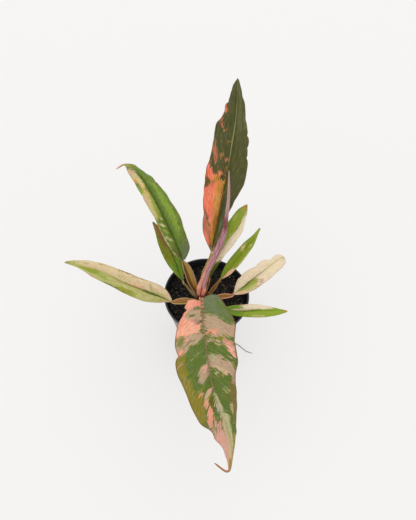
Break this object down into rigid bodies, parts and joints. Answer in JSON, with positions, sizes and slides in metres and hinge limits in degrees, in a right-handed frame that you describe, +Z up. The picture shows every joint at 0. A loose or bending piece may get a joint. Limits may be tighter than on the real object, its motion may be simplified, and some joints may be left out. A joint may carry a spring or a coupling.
{
  "type": "potted caramel marble philodendron",
  "caption": "Young philodendron with long variegated lance-shaped leaves on winged stalks and one rolled new leaf, growing in a round black nursery pot full of soil.",
  "frame": {"origin": "centre of the pot's flat base, on the surface it stands on", "axes": "+Z up along the pot's axis, -Y towards the viewer of the picture and the long front leaf, +X to the viewer's right"},
  "size_m": [0.2495, 0.3987, 0.2682],
  "materials": {
    "pot_plastic": "black moulded plastic, satin, soft highlight on the rolled lip",
    "potting_mix": "dark moist potting mix of peat and bark with tan and grey flecks",
    "stem_skin": "red-brown young stem, slightly ribbed",
    "root_skin": "dry grey-beige root",
    "blade_front": "semi-gloss leaf, salmon pink and beige sectors with sage green patches, thin dark red margin",
    "blade_back": "semi-gloss leaf, dark olive green with coral to ochre sectors on one half",
    "blade_green": "semi-gloss leaf, green with cream and yellow streaks",
    "blade_cream": "semi-gloss leaf, cream with green streaks and a green midrib",
    "stalk_caramel": "caramel brown winged stalk with lighter tan wing edges",
    "stalk_green": "olive green winged stalk with tan wing edges",
    "sheath_coral": "coral pink sheath with a dark maroon channel",
    "rolled_mauve": "mauve pink rolled leaf with pale streaks"
  },
  "bodies": {
    "root": {"pot": "pot_plastic", "soil": "potting_mix", "stem": "stem_skin", "leaf_front": "blade_front", "stalk_front": "stalk_caramel", "leaf_back": "blade_back", "stalk_back": "stalk_green", "leaf_upper_left": "blade_green", "stalk_upper_left": "stalk_caramel", "leaf_left": "blade_cream", "stalk_left": "stalk_caramel", "leaf_left_small": "blade_green", "stalk_left_small": "stalk_green", "leaf_right": "blade_cream", "stalk_right": "stalk_caramel", "leaf_right_low": "blade_green", "stalk_right_low": "stalk_green", "leaf_upper_right": "blade_green", "stalk_upper_right": "stalk_caramel", "leaf_back_right": "blade_cream", "stalk_back_right": "stalk_caramel", "new_leaf_sheath": "sheath_coral", "new_leaf_rolled": "rolled_mauve", "loose_root": "root_skin"}
  },
  "joints": []
}
